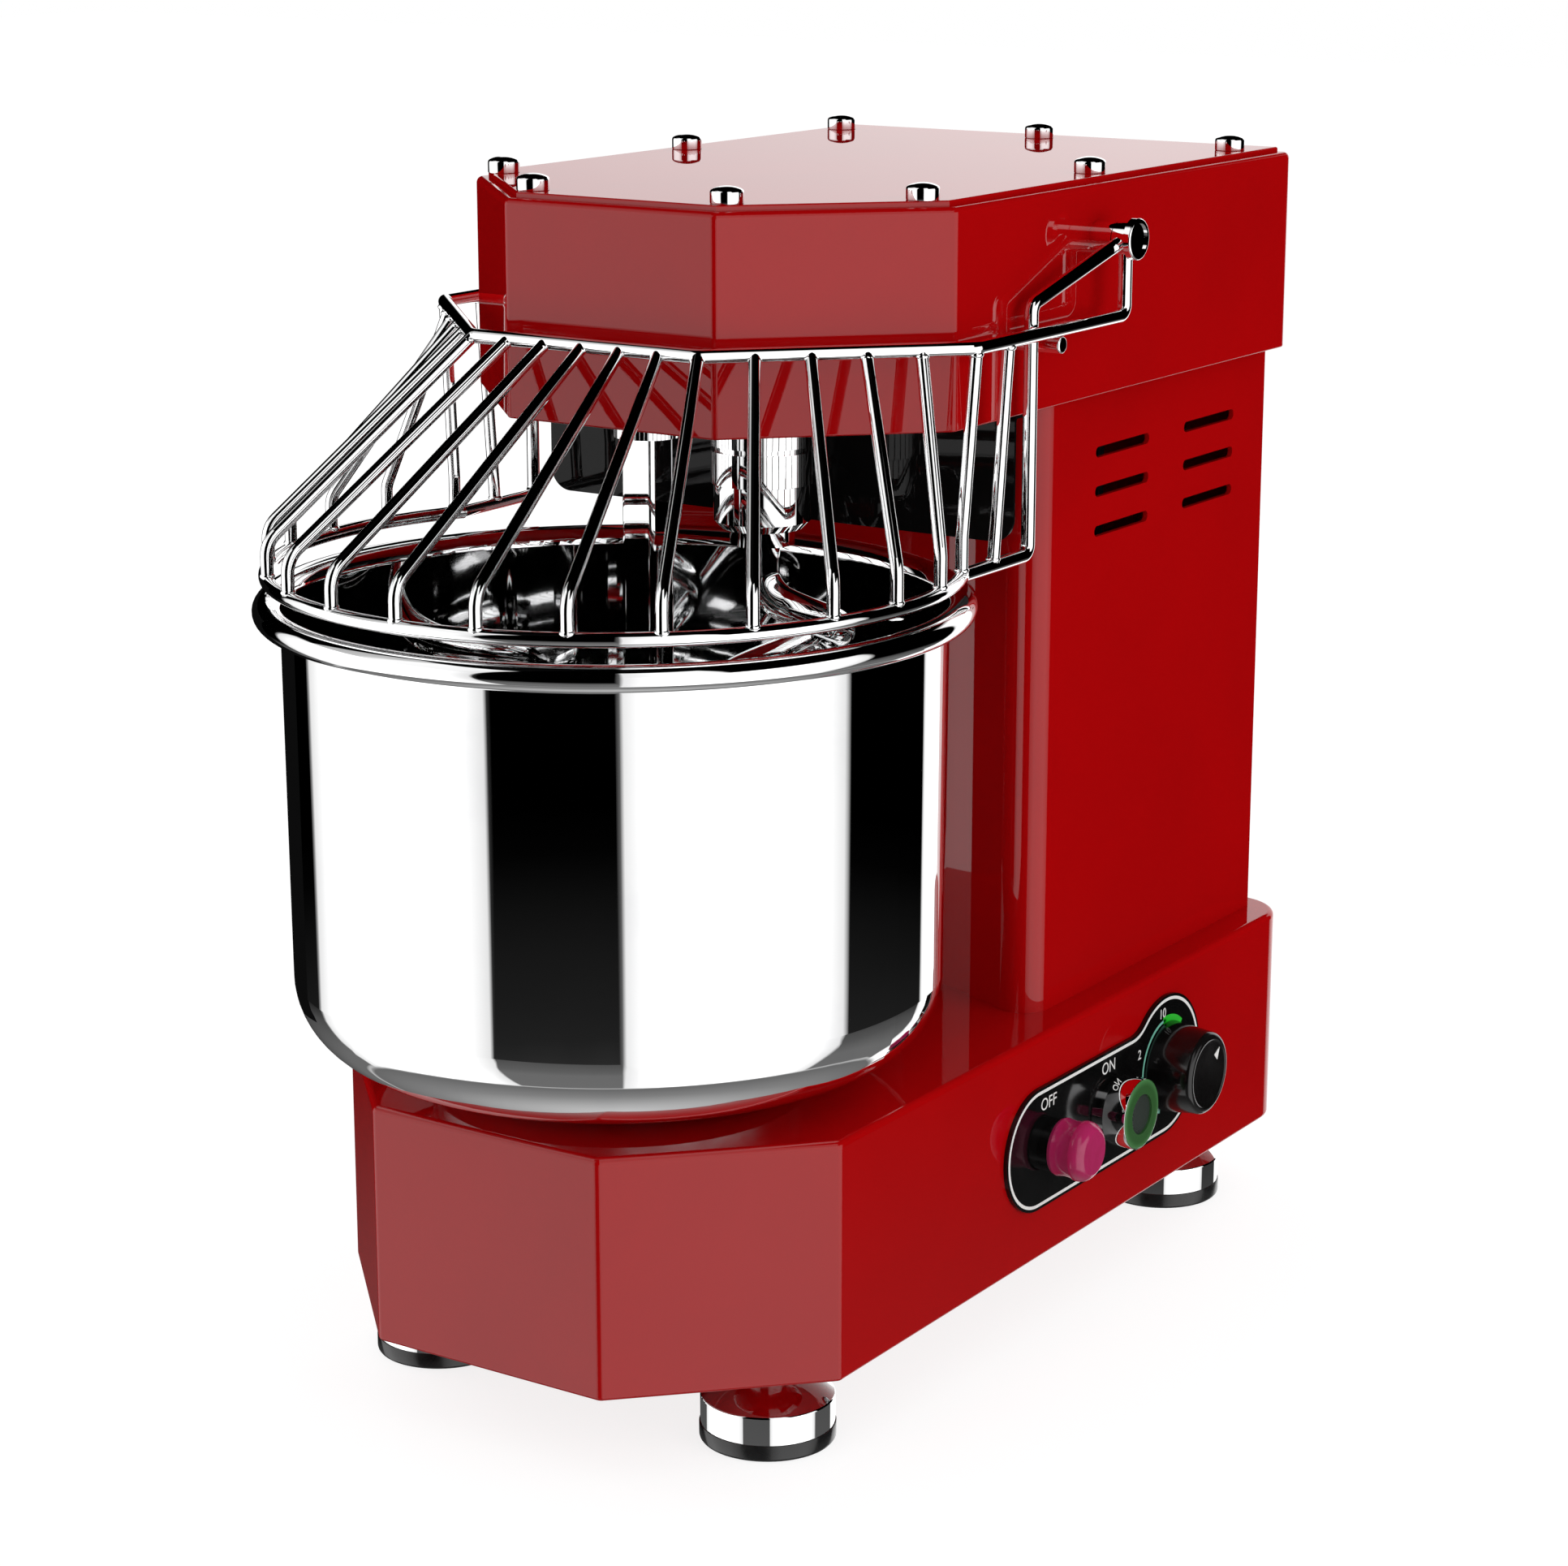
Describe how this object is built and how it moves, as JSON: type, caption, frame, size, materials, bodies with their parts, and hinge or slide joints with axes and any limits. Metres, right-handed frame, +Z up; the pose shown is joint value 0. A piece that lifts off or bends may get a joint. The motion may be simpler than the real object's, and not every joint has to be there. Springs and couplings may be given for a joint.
{
  "type": "dough mixer",
  "caption": "Bench spiral dough mixer: red enclosed body, turning polished bowl, spiral hook and breaker bar, tilting wire guard, push buttons and speed dial.",
  "frame": {"origin": "on the table, under the centre of the machine's bounding box", "axes": "+X to the operator's right, towards the controls; +Y to the back, the bowl stands at -Y; +Z up"},
  "size_m": [0.2626, 0.4633, 0.4484],
  "materials": {
    "red_paint": "gloss red enamel",
    "polished_steel": "mirror polished stainless steel",
    "plain_steel": "plain machined steel",
    "cast_housing": "painted casting",
    "pulley_alloy": "turned alloy",
    "motor_paint": "dark grey paint",
    "belt_rubber": "black rubber",
    "foot_rubber": "satin black rubber",
    "black_plastic": "black plastic",
    "black_enamel": "gloss black enamel",
    "panel_black": "gloss black face plate",
    "stop_pink": "pink-red moulded plastic",
    "start_green": "green moulded plastic",
    "start_grey": "dark grey plastic"
  },
  "bodies": {
    "machine": {"base_shell": "red_paint", "base_floor": "red_paint", "column_shell": "red_paint", "rear_cover": "red_paint", "head_casing": "red_paint", "head_cover": "red_paint", "foot_cups": "polished_steel", "cover_nuts": "polished_steel", "hook_bearing_housing": "polished_steel", "breaker_bar": "polished_steel", "guard_hinge_bushes": "polished_steel", "guard_rest_pegs": "polished_steel", "start_bezel": "polished_steel", "rear_cover_screws": "plain_steel", "cover_studs": "plain_steel", "bowl_bearings": "plain_steel", "hook_bearings": "plain_steel", "breaker_bar_nut": "plain_steel", "motor_bolts": "plain_steel", "bowl_bearing_housing": "cast_housing", "layshaft_bearings": "cast_housing", "gear_motor": "motor_paint", "hook_belt": "belt_rubber", "layshaft_belt": "belt_rubber", "bowl_belt": "belt_rubber", "foot_pads": "foot_rubber", "cable_gland": "black_plastic", "guard_switch": "black_plastic", "stop_collar": "black_plastic", "button_switches": "black_plastic", "speed_control": "black_plastic", "motor_drive": "black_plastic", "splash_plate": "black_enamel", "control_panel": "panel_black"},
    "bowl_unit": {"bowl": "polished_steel", "bowl_carrier": "plain_steel", "bowl_shaft": "plain_steel", "bowl_pulley": "pulley_alloy"},
    "hook_unit": {"spiral_hook": "polished_steel", "hook_hub": "polished_steel", "hook_shaft": "plain_steel", "hook_pulley": "pulley_alloy"},
    "layshaft_unit": {"layshaft": "plain_steel", "layshaft_upper_pulley": "pulley_alloy", "layshaft_lower_pulley": "pulley_alloy"},
    "motor_rotor": {"motor_shaft": "plain_steel", "motor_pulley": "pulley_alloy"},
    "guard": {"guard_top_rail": "polished_steel", "guard_ring": "polished_steel", "guard_side_frames": "polished_steel", "guard_bars": "polished_steel", "guard_side_bars": "polished_steel", "guard_pivots": "polished_steel", "guard_cam": "plain_steel"},
    "stop_push": {"stop_stem": "black_plastic", "stop_cap": "stop_pink"},
    "start_push": {"start_button": "start_green", "start_insert": "start_grey"},
    "dial": {"speed_knob": "black_plastic", "knob_spindle": "plain_steel"}
  },
  "joints": [
    {"name": "bowl_spin", "type": "hinge", "parent": "machine", "child": "bowl_unit", "pos_m": [0, -0.1019, 0.13], "axis": [0, 0, 1], "continuous": true},
    {"name": "hook_spin", "type": "hinge", "parent": "machine", "child": "hook_unit", "pos_m": [0.02, -0.0375, 0.33], "axis": [0, 0, 1], "continuous": true},
    {"name": "layshaft_spin", "type": "hinge", "parent": "machine", "child": "layshaft_unit", "pos_m": [-0.066, 0.104, 0.2], "axis": [0, 0, 1], "continuous": true},
    {"name": "motor_spin", "type": "hinge", "parent": "machine", "child": "motor_rotor", "pos_m": [0, 0.148, 0.38], "axis": [0, 0, 1], "continuous": true},
    {"name": "guard_tilt", "type": "hinge", "parent": "machine", "child": "guard", "pos_m": [0, 0.0575, 0.421], "axis": [-1, 0, 0], "range_deg": [0, 80]},
    {"name": "stop_press", "type": "slide", "parent": "machine", "child": "stop_push", "axis": [-1, 0, 0], "range_m": [0, 0.0035], "stiffness_N_per_m": 600},
    {"name": "start_press", "type": "slide", "parent": "machine", "child": "start_push", "axis": [-1, 0, 0], "range_m": [0, 0.0025], "stiffness_N_per_m": 600},
    {"name": "speed_turn", "type": "hinge", "parent": "machine", "child": "dial", "pos_m": [0.12, 0.1165, 0.0825], "axis": [1, 0, 0], "range_deg": [-80, 190]}
  ],
  "couplings": [
    {"joint": "layshaft_spin", "follows": "bowl_spin", "ratio": 6},
    {"joint": "motor_spin", "follows": "bowl_spin", "ratio": 16},
    {"joint": "hook_spin", "follows": "bowl_spin", "ratio": 8.8889}
  ]
}
